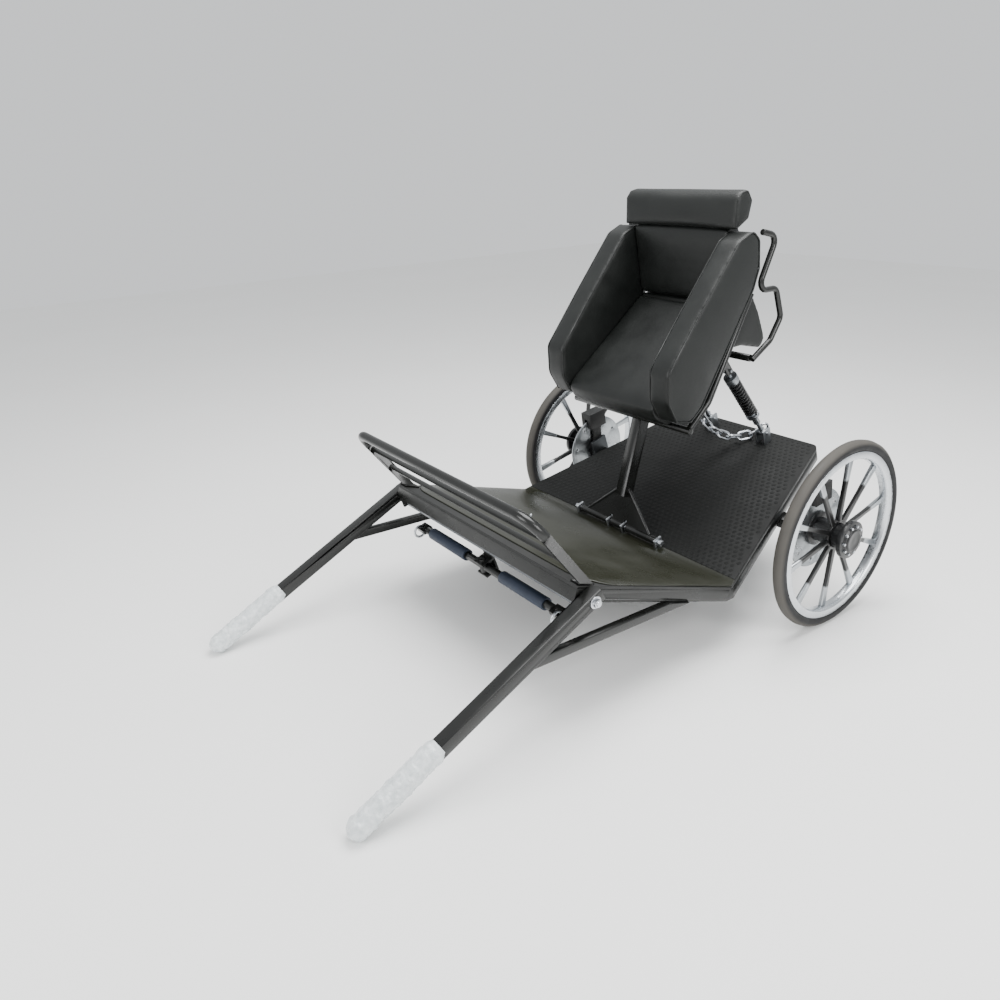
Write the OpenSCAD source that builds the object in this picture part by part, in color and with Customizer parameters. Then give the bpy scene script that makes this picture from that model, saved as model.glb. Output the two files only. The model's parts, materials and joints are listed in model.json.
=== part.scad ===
// Two-wheeled single-seat horse cart with a low deck, parked on its shafts.
// Forward is -Y, the driver's left is +X, up is +Z, and the floor is Z = 0.
// Pieces are drawn level, with the rear deck's top at Z = 0 and the wheel
// centres at Y = 0. parked() then tips the cart until the shaft tips rest.

/* [Wheels] */
// Outer diameter of a tyre
tyre_d = 600; // [560:10:640]
// Width of a tyre
tyre_w = 38; // [34:1:46]
// Height of a tyre over its seat on the rim
tyre_h = 40; // [32:1:44]
// Height of the rim flange over the tyre seat
flange_h = 8; // [5:1:12]
// Width of a rim
rim_w = 32; // [28:1:34]
// Distance between the middles of the two tyres
track = 1160; // [1140:10:1300]
// Number of spokes in a wheel
spokes = 10; // [8:1:12]
// Turn of the first spoke from the vertical, in degrees
spoke_turn = 12; // [0:1:36]
// Outer diameter of a brake disc
disc_d = 260; // [220:5:280]
// Thickness of a brake disc
disc_t = 5; // [4:1:8]
// Diameter of a hub barrel
hub_d = 76; // [66:2:84]
// Diameter of a hub's outer flange
hub_flange_d = 118; // [100:2:130]
// Reach of a hub outboard of the middle of its tyre
hub_out = 52; // [40:1:60]

/* [Deck] */
// Length of the rear deck behind the axle
deck_rear = 320; // [300:10:340]
// Distance from the axle forward to the bend of the deck
deck_bend = 385; // [350:5:420]
// Width of the deck at its rear edge
rear_w = 594; // [540:2:640]
// Width of the deck at the bend
bend_w = 986; // [960:2:1010]
// Width of the front panel at its front edge
front_w = 904; // [860:2:940]
// Length of the sloping front panel
panel_len = 585; // [520:5:640]
// Slope of the front panel, in degrees
panel_slope = 37; // [32:1:42]
// Thickness of the mat and of the front covering
mat_t = 5; // [3:1:8]
// Thickness of the floor boards
board_t = 9; // [6:1:15]
// Depth of the steel frame under the boards
frame_h = 36; // [30:1:40]
// Width of a frame tube
frame_w = 25; // [20:1:32]
// Height from the wheel centres up to the top of the deck
deck_over_axle = 49; // [40:1:60]

/* [Shafts] */
// Side of the square shaft tube
shaft_w = 38; // [32:1:42]
// Length of a shaft from its bolt to the end of its tip
shaft_len = 790; // [700:10:1000]
// Fall of a shaft against the rear deck, in degrees
shaft_fall = 7.1; // [4:0.1:10]
// Length of the wrapped end of a shaft
wrap_len = 272; // [220:2:320]
// Diameter of the round tube at a shaft's tip
tip_d = 32; // [26:1:34]
// Outer diameter of the packing film on a tip
wrap_d = 62; // [58:1:70]
// Side of a square brace tube
brace_w = 25; // [20:1:28]

/* [Dash] */
// Height of the dash rail along its posts
dash_h = 290; // [240:5:320]
// Forward lean of the dash rail, in degrees
dash_lean = 18.7; // [10:0.1:25]
// Diameter of the top tube
dash_top_d = 28; // [22:1:32]
// Diameter of the two lower bars
dash_bar_d = 16; // [12:1:20]

/* [Swingletree] */
// Length of the swingletree
swing_len = 740; // [640:10:780]
// Diameter of the swingletree bar
swing_d = 25; // [20:1:28]
// Diameter of a sleeve on the swingletree
sleeve_d = 38; // [34:1:44]
// Distance from the pivot to the inner end of a sleeve
sleeve_in = 92; // [85:1:110]
// Distance from the pivot to the outer end of a sleeve
sleeve_out = 294; // [250:2:300]
// Diameter of the pivot pin
swing_pin_d = 12; // [10:1:14]

/* [Seat] */
// Width of the cushion between the bolsters
cushion_w = 380; // [340:5:420]
// Thickness of a side bolster
bolster_w = 82; // [70:1:90]
// Width of the headrest
head_w = 452; // [400:2:480]
// Outer diameter of the seat frame tube
tube_d = 22; // [18:1:26]
// Outer diameter of a grab loop
loop_d = 18; // [16:1:20]
// Half width of the seat hinge
hinge_half = 190; // [170:5:210]
// Side of the square seat post
post_w = 40; // [34:1:46]
// Gap between a soft piece and its neighbour
soft_gap = 0.4; // [0.3:0.1:0.8]

/* [Shocks and chain] */
// Distance of a shock from the middle of the cart
shock_x = 118; // [100:2:130]
// Outer diameter of a shock spring
spring_d = 46; // [40:1:52]
// Diameter of a chain's wire
chain_wire = 9; // [7:0.5:10]
// Outer length of a chain link
link_len = 62; // [54:1:70]
// Outer width of a chain link
link_w = 36; // [32:1:42]

/* [Hidden] */
$fn = 48;

steel = "#1c1d1c";
bright = "#c8ccd0";
leather = "#24292b";

// Half sizes and places that several pieces share.
tyre_r = tyre_d / 2;
seat_r = tyre_r - tyre_h;
rim_r = seat_r + flange_h;
axle_z = -deck_over_axle;
deck_t = mat_t + board_t + frame_h;

function unit(v) = v / norm(v);
// A bend of radius r at b: its centre, first tangent point, second tangent
// point, first angle and sweep.
function bend_at(a, b, c, r) =
    let (u = unit(a - b), w = unit(c - b), half = acos(u * w) / 2,
        m = b + unit(u + w) * r / sin(half),
        t1 = b + u * r / tan(half), t2 = b + w * r / tan(half),
        a1 = atan2((t1 - m).y, (t1 - m).x), d0 = atan2((t2 - m).y, (t2 - m).x) - a1)
    [m, t1, t2, a1, d0 > 180 ? d0 - 360 : d0 < -180 ? d0 + 360 : d0];
// Rounded corners: a convex outline with an arc of radius r at each corner.
function arc_corner(a, b, c, r, n = 6) = let (q = bend_at(a, b, c, r))
    [for (i = [0:n]) q[0] + r * [cos(q[3] + q[4] * i / n), sin(q[3] + q[4] * i / n)]];
function rounded(p, r) = [for (i = [0:len(p) - 1])
    let (k = len(p), rr = is_list(r) ? r[i] : r)
    each rr > 0 ? arc_corner(p[(i + k - 1) % k], p[i], p[(i + 1) % k], rr) : [p[i]]];

// An outline moved inwards by d on every side; the corners run anticlockwise.
function inward(a, b) = let (u = unit(b - a)) [-u.y, u.x];
function meet(p, u, q, w) = p + u * ((q - p).x * w.y - (q - p).y * w.x) / (u.x * w.y - u.y * w.x);
function inset(p, d) = [for (i = [0:len(p) - 1])
    let (k = len(p), a = p[(i + k - 1) % k], b = p[i], c = p[(i + 1) % k])
    meet(b + d * inward(a, b), unit(b - a), b + d * inward(b, c), unit(c - b))];

// Turns a YZ point about X; a positive angle lowers what lies forward.
function turned(p, a) = [p.x * cos(a) - p.y * sin(a), p.x * sin(a) + p.y * cos(a)];

// Where the front panel's own points lie: y runs along it, z is its height.
function on_panel(y, z) = [-deck_bend, 0] + turned([y, z], -panel_slope);
// Where the shafts' own points lie: y runs back from the bolt.
bolt_back = 30;
bolt = on_panel(bolt_back - panel_len, -mat_t - board_t - frame_h / 2);
function on_shaft(y, z) = bolt + turned([y, z], shaft_fall);
shaft_gap = 5;
shaft_x = front_w / 2 + shaft_gap + shaft_w / 2;
wrap_r = wrap_d / 2;

// The tip's ball and both wheels touch the floor when the cart is tipped.
tip_arm = on_shaft(wrap_r - shaft_len, 0) - [0, axle_z];
nose_angle = atan2(tip_arm.y, -tip_arm.x) + asin((tyre_r - wrap_r) / norm(tip_arm));

// The cart stands with the middle of its length at Y = 0.
function tipped(p) = turned(p - [0, axle_z], nose_angle);
box_front = tipped(on_shaft(wrap_r - shaft_len, 0)).x - wrap_r;
box_rear = max(tyre_r, tipped([deck_rear, -deck_t]).x);
mid_y = (box_front + box_rear) / 2;

module parked() {
    translate([0, -mid_y, tyre_r]) rotate([nose_angle, 0, 0]) translate([0, 0, -axle_z]) children();
}
module both() {
    children();
    mirror([1, 0, 0]) children();
}
module side(s) {
    if (s > 0) children();
    else mirror([1, 0, 0]) children();
}
module panel_place() {
    translate([0, -deck_bend, 0]) rotate([-panel_slope, 0, 0]) children();
}
module shaft_place() {
    translate([shaft_x, bolt.x, bolt.y]) rotate([shaft_fall, 0, 0]) children();
}
// A YZ outline drawn out along X from x0 to x1.
module slab(points, x0, x1) {
    translate([x0, 0, 0]) rotate([90, 0, 90]) linear_extrude(x1 - x0) polygon(points);
}
// A round bar between two points.
module bar(a, b, d) {
    v = b - a;
    translate(a) rotate([0, acos(v.z / norm(v)), atan2(v.y, v.x)]) cylinder(h = norm(v), d = d);
}
// The stations along a bend of a tube: each is a point and the way it runs.
function bend_stations(b, r, n = 5) = [for (i = [0:n]) let (a = b[3] + b[4] * i / n)
    [b[0] + r * [cos(a), sin(a)], sign(b[4]) * [-sin(a), cos(a)]]];
// A round tube along a YZ path at the distance x, with bends of radius r.
module bent_tube(p, r, d, x, sides = 16) {
    last = len(p) - 1;
    bends = [for (i = [1:last - 1]) bend_at(p[i - 1], p[i], p[i + 1], r)];
    stations = [[p[0], unit(p[1] - p[0])], for (b = bends) each bend_stations(b, r),
        [p[last], unit(p[last] - p[last - 1])]];
    rings = len(stations);
    points = [for (q = stations, k = [0:sides - 1]) let (a = 360 * (k + 0.5) / sides, h = d / 2 * sin(a))
        [x + d / 2 * cos(a), q[0].x - h * q[1].y, q[0].y + h * q[1].x]];
    walls = [for (i = [0:rings - 2], k = [0:sides - 1]) let (m = (k + 1) % sides)
        [i * sides + k, i * sides + m, (i + 1) * sides + m, (i + 1) * sides + k]];
    polyhedron(points, concat(walls, [[for (k = [sides - 1:-1:0]) k],
        [for (k = [0:sides - 1]) (rings - 1) * sides + k]]));
}
// The wedge under the bend between two depths below the deck's top.
module bend_wedge(t0, t1, half) {
    slab([[-deck_bend, -t0], [-deck_bend, -t1], on_panel(0, -t1), on_panel(0, -t0)], -half, half);
}

// ---- Deck ----
rear_plan = [[-rear_w / 2, deck_rear], [-bend_w / 2, -deck_bend],
    [bend_w / 2, -deck_bend], [rear_w / 2, deck_rear]];
panel_plan = [[-bend_w / 2, 0], [-front_w / 2, -panel_len],
    [front_w / 2, -panel_len], [bend_w / 2, 0]];
rear_corner_r = 24;
covering_corner_r = 105;
covering_back = 40;
covering_over = 25;

module ring_frame(plan, corner, depth) {
    linear_extrude(depth) difference() {
        polygon(rounded(plan, corner));
        polygon(inset(plan, frame_w));
    }
}
module deck_frame() {
    color(steel) difference() {
        deck_frame_body();
        both() translate([front_w / 2 - 2 * frame_w, bolt.x, bolt.y]) rotate([0, 90, 0])
            cylinder(h = 3 * frame_w, d = bolt_d + bolt_play);
    }
}
module deck_frame_body() {
    translate([0, 0, -deck_t]) {
        ring_frame(rear_plan, [rear_corner_r, 0, 0, rear_corner_r], frame_h);
        intersection() {
            linear_extrude(frame_h) polygon(rear_plan);
            union() {
                for (y = [-frame_w, 170]) translate([-bend_w, y, 0]) cube([2 * bend_w, 2 * frame_w, frame_h]);
                both() translate([shock_x - frame_w / 2, -deck_bend, 0])
                    cube([frame_w, deck_bend + deck_rear - 1, frame_h]);
            }
        }
    }
    panel_place() translate([0, 0, -deck_t]) {
        ring_frame(panel_plan, 0, frame_h);
        both() translate([shock_x - frame_w / 2, frame_w / 2 - panel_len, 0])
            cube([frame_w, panel_len - frame_w, frame_h]);
    }
    bend_wedge(deck_t - frame_h, deck_t, bend_w / 2);
}
module deck_board() {
    color(steel) translate([0, 0, -mat_t - board_t]) linear_extrude(board_t)
        polygon(rounded(rear_plan, [rear_corner_r, 0, 0, rear_corner_r]));
}
module front_panel() {
    color(steel) {
        panel_place() translate([0, 0, -mat_t - board_t]) linear_extrude(board_t) polygon(panel_plan);
        bend_wedge(mat_t, mat_t + board_t, bend_w / 2);
    }
}
module rear_mat() {
    color("#26282a") difference() {
        translate([0, 0, -mat_t]) linear_extrude(mat_t)
            polygon(rounded(rear_plan, [rear_corner_r, 0, 0, rear_corner_r]));
        translate([-bend_w, -deck_bend - 1, -2 * mat_t])
            cube([2 * bend_w, covering_over + 1, 3 * mat_t]);
    }
}
module front_covering() {
    plan = [[-bend_w / 2, 0], [-front_w / 2, covering_back - panel_len],
        [front_w / 2, covering_back - panel_len], [bend_w / 2, 0]];
    color("#2b2c24") {
        panel_place() translate([0, 0, -mat_t]) linear_extrude(mat_t)
            polygon(rounded(plan, [0, covering_corner_r, covering_corner_r, 0]));
        bend_wedge(0, mat_t, bend_w / 2);
        intersection() {
            translate([0, 0, -mat_t]) linear_extrude(mat_t) polygon(rear_plan);
            translate([-bend_w, -deck_bend, -2 * mat_t]) cube([2 * bend_w, covering_over, 3 * mat_t]);
        }
    }
}
module deck_fitting() {
    fit_len = 46;
    fit_w = 26;
    fit_x = -25;
    rod_h = 34;
    color(bright) panel_place() translate([fit_x, 0.62 * -panel_len, 0]) {
        linear_extrude(4) polygon([for (a = [0:15:345]) [fit_len / 2 * cos(a), fit_w / 2 * sin(a)]]);
        cylinder(h = rod_h, d = 5);
        translate([0, 0, rod_h]) sphere(d = 9);
    }
}

// ---- Dash rail, front bar and shafts ----
post_t = 10;
post_depth = 26;
post_x = front_w / 2 - post_t / 2;
dash_foot = on_panel(bolt_back - panel_len, 0);
dash_levels = [0.34, 0.67];
dash_corner = 62;

module dash_place() {
    translate([0, dash_foot.x, dash_foot.y]) rotate([dash_lean, 0, 0]) children();
}
module dash_rail() {
    top_x = post_x - dash_corner;
    top_z = dash_h - dash_top_d / 2;
    color(steel) dash_place() {
        both() translate([top_x, 0, top_z - dash_corner]) rotate([90, 0, 0])
            rotate_extrude(angle = 90) translate([dash_corner, 0]) circle(d = dash_top_d);
        translate([-top_x, 0, top_z]) rotate([0, 90, 0]) cylinder(h = 2 * top_x, d = dash_top_d);
        for (k = dash_levels) translate([-post_x, 0, k * dash_h]) rotate([0, 90, 0])
            cylinder(h = 2 * post_x, d = dash_bar_d);
    }
    color(steel) both() {
        // Each post is cut to stand on a foot plate on the front panel.
        difference() {
            dash_place() translate([post_x - post_t / 2, -post_depth / 2, -post_depth])
                cube([post_t, post_depth, top_z - dash_corner + post_depth]);
            panel_place() translate([0, -2 * panel_len, plate_top - panel_len])
                cube([front_w, 2 * panel_len, panel_len]);
        }
        panel_place() translate([post_x + post_t / 2 - foot_w, bolt_back - panel_len - foot_len / 2, -mat_t])
            cube([foot_w, foot_len, foot_t]);
    }
}
foot_w = 33;
foot_len = 54;
foot_t = 6;
plate_top = foot_t - mat_t;
module front_bar() {
    color("#5b5e60") translate([-inner_shaft, front_bar_y - front_bar_t, front_bar_z - front_bar_h / 2])
        cube([2 * inner_shaft, front_bar_t, front_bar_h]);
}
inner_shaft = shaft_x - shaft_w / 2;
front_bar_t = 6;
front_bar_h = 26;
front_bar_y = bolt.x - 4;
front_bar_z = bolt.y - 38;

module shaft(s) {
    square_len = shaft_len - wrap_len + 18;
    color(steel) side(s) {
        shaft_place() difference() {
            translate([-shaft_w / 2, -square_len, -shaft_w / 2]) cube([shaft_w, square_len + 32, shaft_w]);
            translate([-shaft_w, 0, 0]) rotate([0, 90, 0]) cylinder(h = 2 * shaft_w, d = bolt_d + bolt_play);
        }
        // A plate that carries the end of the front bar.
        translate([inner_shaft, front_bar_y - 20, front_bar_z - front_bar_h / 2])
            cube([5, 34, front_bar_h + 8]);
    }
}
module shaft_tip(s) {
    start = shaft_len - wrap_len + 18;
    color("#2a2a2a") side(s) shaft_place() {
        rotate([90, 0, 0]) translate([0, 0, start]) cylinder(h = shaft_len - start - wrap_r, d = tip_d);
        translate([0, wrap_r - shaft_len, 0]) sphere(d = tip_d + 10);
    }
}
module tip_wrap(s) {
    start = shaft_len - wrap_len;
    color("#d7dcdd") side(s) shaft_place() difference() {
        union() {
            rotate([90, 0, 0]) translate([0, 0, start]) cylinder(h = shaft_len - start - wrap_r, d = wrap_d);
            translate([0, wrap_r - shaft_len, 0]) sphere(d = wrap_d);
        }
        translate([-shaft_w / 2, -start - 18, -shaft_w / 2]) cube([shaft_w, 19, shaft_w]);
        rotate([90, 0, 0]) translate([0, 0, start]) cylinder(h = shaft_len - start - wrap_r, d = tip_d);
        translate([0, wrap_r - shaft_len, 0]) sphere(d = tip_d + 10);
    }
}
bolt_d = 14;
bolt_play = 0.4;
module shaft_bolts() {
    inner = front_w / 2 - frame_w;
    outer = shaft_x + shaft_w / 2;
    color(bright) both() translate([0, bolt.x, bolt.y]) rotate([0, 90, 0]) {
        translate([0, 0, inner]) cylinder(h = outer + 16 - inner, d = bolt_d);
        translate([0, 0, outer]) cylinder(h = 3, d = 34);
        translate([0, 0, outer + 3]) cylinder(h = 9, d = 24, $fn = 6);
    }
}
brace_front = 185;
brace_rear = 250;
brace_a = on_shaft(-brace_front, -shaft_w / 2);
brace_b = on_panel(-brace_rear, -deck_t);
brace_run = unit(brace_a - brace_b);
// The brace's lower corner where it is cut to lie flat against a face.
function brace_cut(p, face) = p + face * brace_w / (brace_run.x * face.y - brace_run.y * face.x);
module brace(s) {
    color(steel) side(s) slab([brace_b, brace_cut(brace_b, turned([1, 0], -panel_slope)),
        brace_cut(brace_a, turned([1, 0], shaft_fall)), brace_a],
        shaft_x - brace_w / 2, shaft_x + brace_w / 2);
}

// ---- Axle, stub axles and brakes ----
axle_w = 40;
beam_z = -deck_t - axle_w / 2;
plate_t = 12;
disc_in = 72;
plate_in = disc_in + disc_t + 13;
spindle_d = 24;
half_track = track / 2;
module axle_beam() {
    reach = half_track - plate_in - plate_t;
    color(steel) {
        translate([-reach, -axle_w / 2, beam_z - axle_w / 2]) cube([2 * reach, axle_w, axle_w]);
    }
}
module stub_axle(s) {
    plate_low = beam_z - axle_w / 2;
    color("#3a3c3d") side(s) {
        translate([half_track - plate_in - plate_t, -36, plate_low])
            cube([plate_t, 72, axle_z + 46 - plate_low]);
        translate([half_track - plate_in - 1, 0, axle_z]) rotate([0, 90, 0])
            cylinder(h = plate_in + 1 + hub_out - 22, d = spindle_d);
        translate([half_track - plate_in - 1, 0, axle_z]) rotate([0, 90, 0])
            cylinder(h = 9, d = spindle_boss);
    }
}
spindle_boss = 40;
caliper_turn = 80;
caliper_gap = 5;
module caliper(s) {
    arm_r = disc_d / 2 - 32;
    span = disc_t + 2 * caliper_gap;
    block = [26, 78, 62];
    color("#151515") side(s) translate([half_track, 0, axle_z]) rotate([caliper_turn - 90, 0, 0]) {
        difference() {
            translate([-plate_in - plate_t, -block.y / 2, arm_r])
                cube([plate_in - disc_in + plate_t + caliper_gap + 18, block.y, block.z]);
            translate([-disc_in - disc_t - caliper_gap, -block.y, arm_r - 1])
                cube([span, 2 * block.y, disc_d / 2 + caliper_gap - arm_r + 1]);
        }
        // The bracket that bolts the caliper to the stub axle's plate.
        translate([-plate_in, -20, spindle_boss / 2 + 2])
            cube([8, 40, arm_r + 4 - spindle_boss / 2 - 2]);
    }
}

// ---- Wheels ----
module wheel_place(s) {
    side(s) translate([half_track, 0, axle_z]) rotate([0, 90, 0]) children();
}
module tyre(s) {
    h = tyre_w / 2;
    bead = rim_w / 2 - 3;
    profile = [[seat_r, -bead], [rim_r, -bead], [rim_r + 6, -h], [tyre_r - 12, -h],
        [tyre_r - 2, -h + 9], [tyre_r, 0], [tyre_r - 2, h - 9], [tyre_r - 12, h],
        [rim_r + 6, h], [rim_r, bead], [seat_r, bead]];
    color("#3b3c3c") wheel_place(s) rotate_extrude($fn = 96) polygon(profile);
}
rim_in = seat_r - 18;
module rim(s) {
    h = rim_w / 2;
    profile = [[seat_r, 3 - h], [rim_r, 3 - h], [rim_r, -h], [rim_in + 5, -h], [rim_in, 2 - h],
        [rim_in, h - 8], [rim_in + 5, h], [rim_r, h], [rim_r, h - 3], [seat_r, h - 3]];
    color(bright) wheel_place(s) rotate_extrude($fn = 96) polygon(profile);
}
spoke_low = -14;
spoke_t = 13;
spoke_fit = 0.2;
module spoke_set(s) {
    reach = rim_in - spoke_fit;
    waist = 0.62 * rim_in;
    color("#1a1a1a") wheel_place(s) translate([0, 0, spoke_low]) linear_extrude(spoke_t) difference() {
        intersection() {
            circle(r = reach, $fn = 96);
            union() {
                circle(r = hub_d / 2 + 9);
                for (i = [0:spokes - 1]) rotate(spoke_turn + 360 * i / spokes)
                    polygon([[0, -9], [waist, -6], [rim_in, -10], [rim_in, 10], [waist, 6], [0, 9]]);
            }
        }
        circle(d = hub_d + 2 * spoke_fit);
    }
}
module hub(s) {
    inner = -disc_in - disc_t - 2;
    bore = hub_out - 18;
    color("#161616") wheel_place(s) difference() {
        union() {
            translate([0, 0, inner]) cylinder(h = hub_out - 6 - inner, d = hub_d);
            translate([0, 0, -disc_in]) cylinder(h = 7, d = hub_d + 34);
            translate([0, 0, hub_out - 20]) cylinder(h = 14, d = hub_flange_d);
            translate([0, 0, hub_out - 6]) cylinder(h = 6, d1 = hub_d + 14, d2 = hub_d + 4);
        }
        translate([0, 0, inner - 1]) cylinder(h = bore - inner + 1, d = spindle_d + 0.6);
        translate([0, 0, inner - 1]) cylinder(h = 8, d = 50);
    }
}
module brake_disc(s) {
    color("#a9adb0") wheel_place(s) translate([0, 0, -disc_in - disc_t]) difference() {
        cylinder(h = disc_t, d = disc_d, $fn = 96);
        translate([0, 0, -1]) cylinder(h = disc_t + 2, d = hub_d);
        for (i = [0:7]) rotate(45 * i + 20) translate([disc_d / 2 - 26, 0, -1]) cylinder(h = disc_t + 2, d = 10);
    }
}

// ---- Swingletree ----
boss_r = 17;
swing_clear = 6;
pin_y = front_bar_y - boss_r - swing_clear;
pin_z = bolt.y - 95;
lug_t = 6;
lug_gap = 5.5;
module swing_place() {
    translate([0, pin_y, pin_z]) children();
}
module swingletree_bracket() {
    low = -swing_d / 2 - lug_gap - lug_t;
    back = front_bar_y - pin_y;
    color(steel) swing_place() {
        difference() {
            union() {
                for (z = [low, swing_d / 2 + lug_gap]) translate([-24, -18, z]) cube([48, back + 24, lug_t]);
                translate([-24, back, low]) cube([48, 6, front_bar_z + front_bar_h / 2 - pin_z - low]);
            }
            translate([0, 0, -60]) cylinder(h = 120, d = swing_pin_d);
        }
        translate([0, 0, low - 4]) cylinder(h = 2 * (swing_d / 2 + lug_gap + lug_t) + 8, d = swing_pin_d);
        translate([0, 0, -low]) cylinder(h = 6, d = swing_pin_d + 8);
        translate([0, 0, low - 6]) cylinder(h = 6, d = swing_pin_d + 8);
    }
}
end_w = 34;
module swingletree_bar() {
    half = swing_len / 2;
    color(steel) swing_place() difference() {
        union() {
            translate([end_len - half, 0, 0]) rotate([0, 90, 0])
                cylinder(h = swing_len - 2 * end_len, d = swing_d);
            cylinder(h = swing_d + 8, r = boss_r, center = true);
            both() translate([half - end_len, -end_w / 2, -end_t / 2]) cube([end_len, end_w, end_t]);
        }
        cylinder(h = 2 * swing_d, d = swing_pin_d + 0.6, center = true);
        both() {
            translate([half - ring_in, 0, -end_t]) cylinder(h = 2 * end_t, d = ring_hole);
            translate([half - trace_in, 0, -end_t]) cylinder(h = 2 * end_t, d = trace_hole);
        }
    }
}
end_len = 46;
end_t = 12;
ring_in = 13;
trace_in = 33;
trace_hole = 10;
ring_hole = 13;
ring_wire = 8;
ring_r = 19;
module swingletree_sleeves() {
    color("#4a5462") swing_place() both() difference() {
        translate([sleeve_in, 0, 0]) rotate([0, 90, 0]) cylinder(h = sleeve_out - sleeve_in, d = sleeve_d);
        translate([sleeve_in - 1, 0, 0]) rotate([0, 90, 0]) cylinder(h = sleeve_out, d = swing_d);
    }
}
module trace_rings() {
    color(bright) swing_place() both()
        translate([swing_len / 2 - ring_in, 2 - ring_r, -4.2]) rotate([0, 90, 0])
            rotate_extrude() translate([ring_r, 0]) circle(d = ring_wire);
}

// ---- Seat, its post, frame and grab loops ----
hinge_y = -deck_bend + covering_over - 4;
hinge_z = 16;
hinge_pin_d = 12;
hinge_lug_t = 8;
lug_x = 30;
post_lean = 34;
gusset_h = 130;
gusset_half = 150;
pan_slope = 17;
pan_front = [-205, 372];
function on_pan(u, v) = pan_front + turned([u, v], pan_slope);
tube_r = tube_d / 2;
side_x = cushion_w / 2 + 57;

module seat_hinge() {
    color("#6b6e70") {
        translate([-hinge_half - 14, hinge_y, hinge_z]) rotate([0, 90, 0])
            cylinder(h = 2 * hinge_half + 28, d = hinge_pin_d);
        both() {
            translate([hinge_half - hinge_lug_t, hinge_y - 16, 0]) cube([hinge_lug_t, 32, 30]);
            translate([hinge_half + 5, hinge_y, hinge_z]) rotate([0, 90, 0]) cylinder(h = 9, d = 22, $fn = 6);
            translate([lug_x, hinge_y - 16, 0]) cube([hinge_lug_t, 32, 30]);
        }
    }
}
module post_place() {
    translate([0, hinge_y, hinge_z]) rotate([-post_lean, 0, 0]) children();
}
module seat_post() {
    knuckle = hinge_pin_d + 12;
    color(steel) difference() {
        post_place() seat_post_body(knuckle);
        // The post's top is cut to end against the head plate's underside.
        slab([on_pan(-post_w, -head_t), on_pan(cushion_back, -head_t), on_pan(cushion_back, cushion_back),
            on_pan(-post_w, cushion_back)], -post_w, post_w);
    }
}
module seat_post_body(knuckle) {
    difference() {
        union() {
            for (x = [-hinge_half + 12, 44]) translate([x, 0, 0]) rotate([0, 90, 0])
                cylinder(h = hinge_half - 56, d = knuckle);
            translate([-26, 0, 0]) rotate([0, 90, 0]) cylinder(h = 52, d = knuckle);
            translate([0, 3, 0]) rotate([90, 0, 0]) linear_extrude(6) polygon([[-gusset_half, 6],
                [gusset_half, 6], [post_w / 2, gusset_h], [-post_w / 2, gusset_h]]);
            // Stiffening bars along the gusset's two slanted edges.
            for (k = [-1, 1])
                bar([k * (gusset_half - 4), 0, 10], [k * (post_w / 2 - 2), 0, gusset_h - 4], 12);
        }
        translate([-hinge_half, 0, 0]) rotate([0, 90, 0])
            cylinder(h = 2 * hinge_half, d = hinge_pin_d + 0.4);
        // Room for the two middle lugs of the hinge.
        both() translate([lug_x - 2, 0, 0]) rotate([0, 90, 0]) cylinder(h = hinge_lug_t + 4, d = 48);
    }
    translate([-post_w / 2, -post_w / 2, gusset_h - 30])
        cube([post_w, post_w, cushion_back + gusset_h]);
}

head_t = 7;
module seat_frame() {
    front = on_pan(0, -tube_r);
    rear = on_pan(310, -tube_r);
    reach = side_x + tube_r;
    color(steel) {
        both() bent_tube([front, front + [100, 42], loop_foot], 60, tube_d, side_x);
        bar([-reach, front.x, front.y], [reach, front.x, front.y], tube_d);
        bar([-reach, rear.x, rear.y], [reach, rear.x, rear.y], tube_d);
        // The head plate lies under the cushion and carries both cross tubes.
        slab([on_pan(-4, 0), on_pan(-4, -head_t), on_pan(316, -head_t), on_pan(316, 0)], -70, 70);
        // Ears for the top eyes of the shocks hang from the rear cross tube.
        both() difference() {
            for (x = [shock_x - shock_ear / 2 - 6, shock_x + shock_ear / 2]) slab([
                [rear.x - 12, rear.y], [rear.x + 14, rear.y], [shock_top.x + 14, shock_top.y - 12],
                [shock_top.x - 14, shock_top.y - 12]], x, x + 6);
            translate([shock_x - shock_ear, shock_top.x, shock_top.y]) rotate([0, 90, 0])
                cylinder(h = 2 * shock_ear, d = shock_pin_d + bolt_play);
        }
    }
}
loop_foot = [146, 640];
shock_top = [133, 362];
shock_foot = [263, 40];
shock_ear = 26;
shock_pin_d = 10;
loop_gap = 0.3;
loop_bend = 26;
loop_x = side_x + tube_r + loop_d / 2 + loop_gap;
module grab_loops(s) {
    path = [[207, 804], [268, 768], [152, 646], [236, 618], [242, 520], [180, 470],
        on_pan(305, -tube_r)];
    color(steel) side(s) bent_tube(path, loop_bend, loop_d, loop_x);
}

module soft(points, r, x0, x1) {
    slab(rounded(points, r), x0, x1);
}
cushion_back = 320;
module seat_cushion() {
    color(leather) soft([on_pan(-44, 58), on_pan(-14, soft_gap), on_pan(cushion_back, soft_gap),
        [118, 606], on_pan(20, 116), on_pan(-40, 108)], [16, 10, 6, 6, 30, 24],
        -cushion_w / 2, cushion_w / 2);
}
module bolster(s) {
    x0 = cushion_w / 2 + soft_gap;
    color(leather) side(s) {
        soft([[-262, 424], [-205, 392], [-150, 412], [140, 655], [178, 706],
            [196, 790], [172, 828], [106, 822], [-84, 702], [-255, 590], [-280, 500]],
            [20, 16, 10, 20, 20, 30, 26, 30, 20, 40, 60], x0, x0 + bolster_w);
        // The skirt below the bolster that shuts the gap beside the cushion
        soft([[-140, 425], [118, 545], [150, 600], [150, 664], [-140, 465]],
            [8, 8, 8, 8, 8], x0, x0 + skirt_w);
    }
}
skirt_w = 40;
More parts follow.
